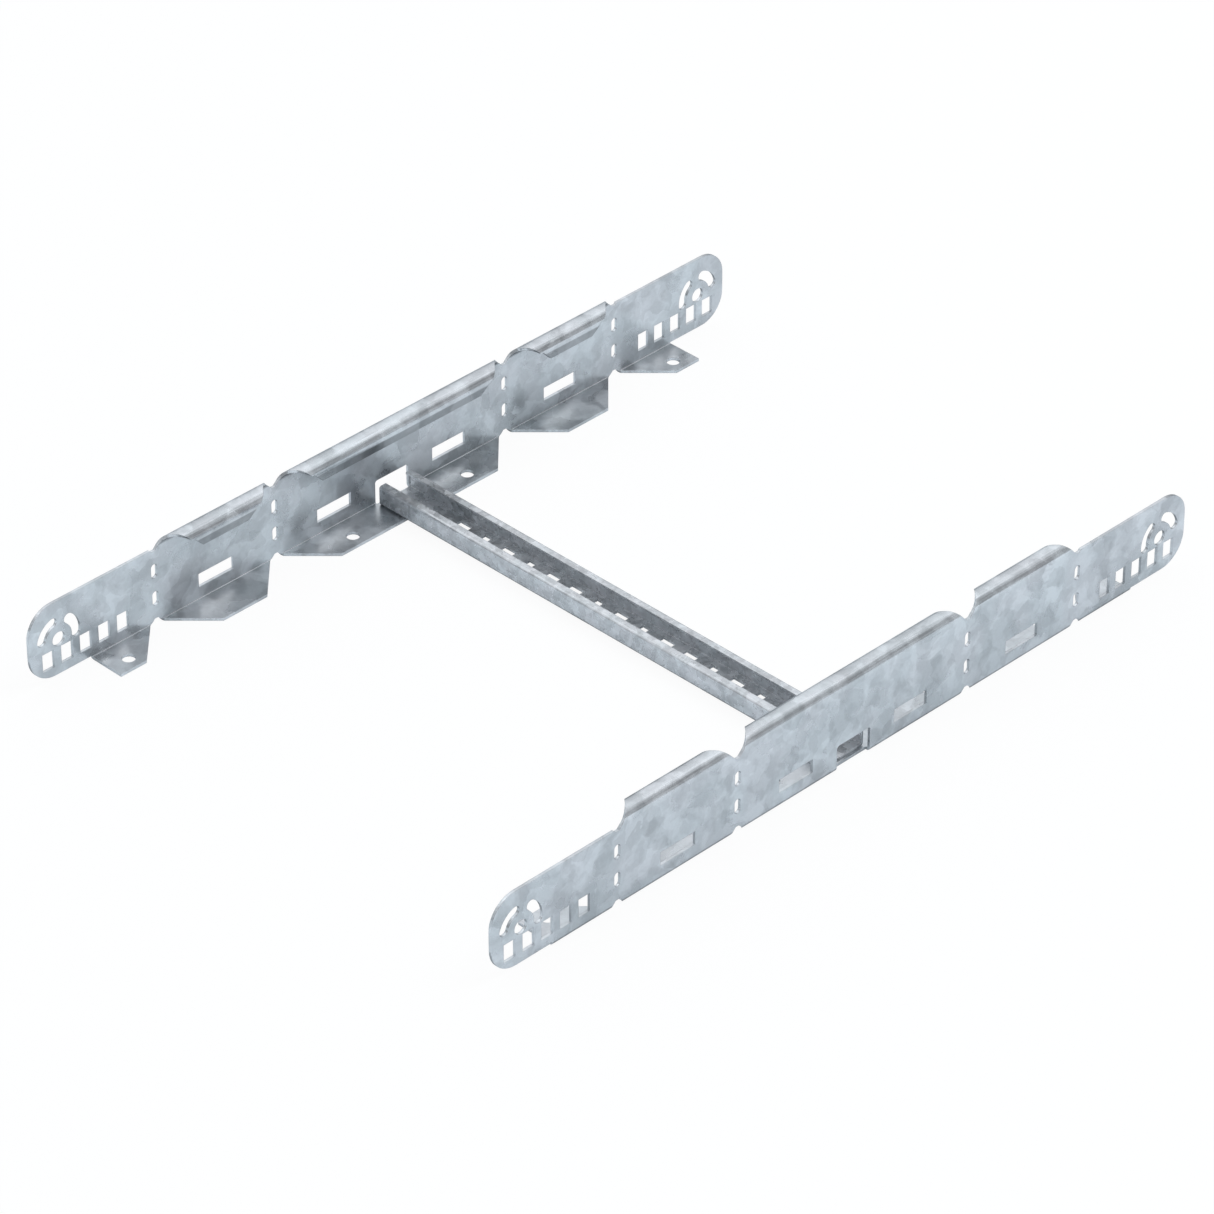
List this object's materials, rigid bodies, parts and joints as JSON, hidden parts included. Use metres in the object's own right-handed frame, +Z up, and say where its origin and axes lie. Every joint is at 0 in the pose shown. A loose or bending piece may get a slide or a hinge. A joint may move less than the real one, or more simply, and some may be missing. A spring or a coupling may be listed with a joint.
{
  "type": "bendable cable ladder connector",
  "caption": "Connector for a cable ladder: two folded side rails with perforated bend lines and slotted end plates, held apart by a slotted C rung.",
  "frame": {"origin": "middle of the connector, on the plane that the bottom flanges rest on", "axes": "+X along the side rails, +Y towards the left rail, +Z up"},
  "size_m": [0.603, 0.404, 0.0635],
  "materials": {
    "rail_zinc": "strip galvanised, faint spangle, semi-gloss",
    "rung_zinc": "strip galvanised, faint spangle, semi-gloss"
  },
  "bodies": {
    "root": {"left_side_rail": "rail_zinc", "right_side_rail": "rail_zinc", "rung": "rung_zinc"}
  },
  "joints": []
}
